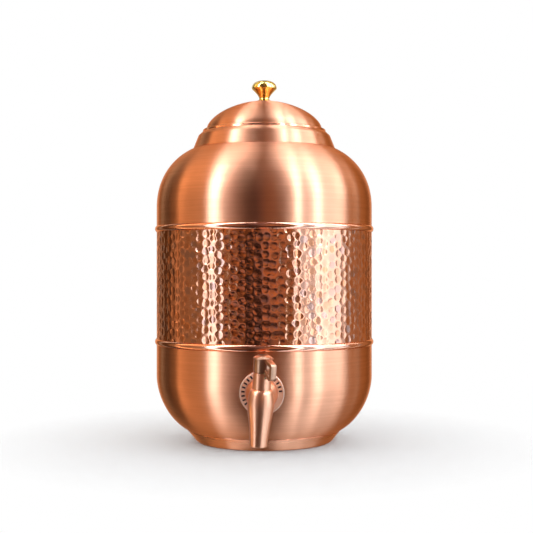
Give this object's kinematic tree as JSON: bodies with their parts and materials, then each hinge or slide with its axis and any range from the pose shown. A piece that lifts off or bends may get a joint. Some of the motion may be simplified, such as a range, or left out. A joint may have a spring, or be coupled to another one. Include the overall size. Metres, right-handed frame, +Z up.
{
  "type": "copper water dispenser",
  "caption": "Round copper water dispenser with a hammered band, a domed lift-off lid with a brass knob, a foot ring, and a quarter-turn tap with a tapered spout.",
  "frame": {"origin": "middle of the foot ring's rest plane, on the vessel's axis", "axes": "+Z up along the vessel's axis, -Y towards the tap, +X to the right when the tap is seen from the front"},
  "size_m": [0.1828, 0.2369, 0.302],
  "materials": {
    "satin_copper": "satin, brushed around the axis",
    "hammered_copper": "hammered and polished",
    "polished_copper": "polished",
    "tap_copper": "satin copper plating",
    "handle_bronze": "dark brushed bronze plating",
    "polished_brass": "polished",
    "turned_brass": "turned",
    "zinc_steel": "zinc plated",
    "black_rubber": "matte",
    "white_liner": "smooth fluoropolymer"
  },
  "bodies": {
    "vessel": {"upper_shell": "satin_copper", "neck_collar": "satin_copper", "hammered_band": "hammered_copper", "lower_bowl": "satin_copper", "foot_ring": "satin_copper", "upper_bead": "polished_copper", "lower_bead": "polished_copper", "tap_body": "tap_copper", "tap_plate": "polished_copper", "outer_seal": "black_rubber", "inner_seal": "black_rubber", "lock_washer": "zinc_steel", "lock_nut": "zinc_steel", "valve_liner": "white_liner", "retaining_ring": "zinc_steel"},
    "lid": {"lid_shell": "satin_copper", "lid_ring": "satin_copper", "lid_knob": "polished_brass", "knob_screw": "zinc_steel", "knob_washer": "zinc_steel"},
    "tap_handle": {"handle_hub": "handle_bronze", "handle_lever": "handle_bronze", "valve_plug": "turned_brass", "packing_rings": "black_rubber", "stop_pin": "zinc_steel", "set_screw": "zinc_steel"}
  },
  "joints": [
    {"name": "lid_lift", "type": "slide", "parent": "vessel", "child": "lid", "axis": [0, 0, 1], "range_m": [0, 0.1]},
    {"name": "tap_turn", "type": "hinge", "parent": "vessel", "child": "tap_handle", "pos_m": [-0.00226, -0.12951, 0.04681], "axis": [0.056, -0.088, 0.9945], "range_deg": [0, 90]}
  ]
}
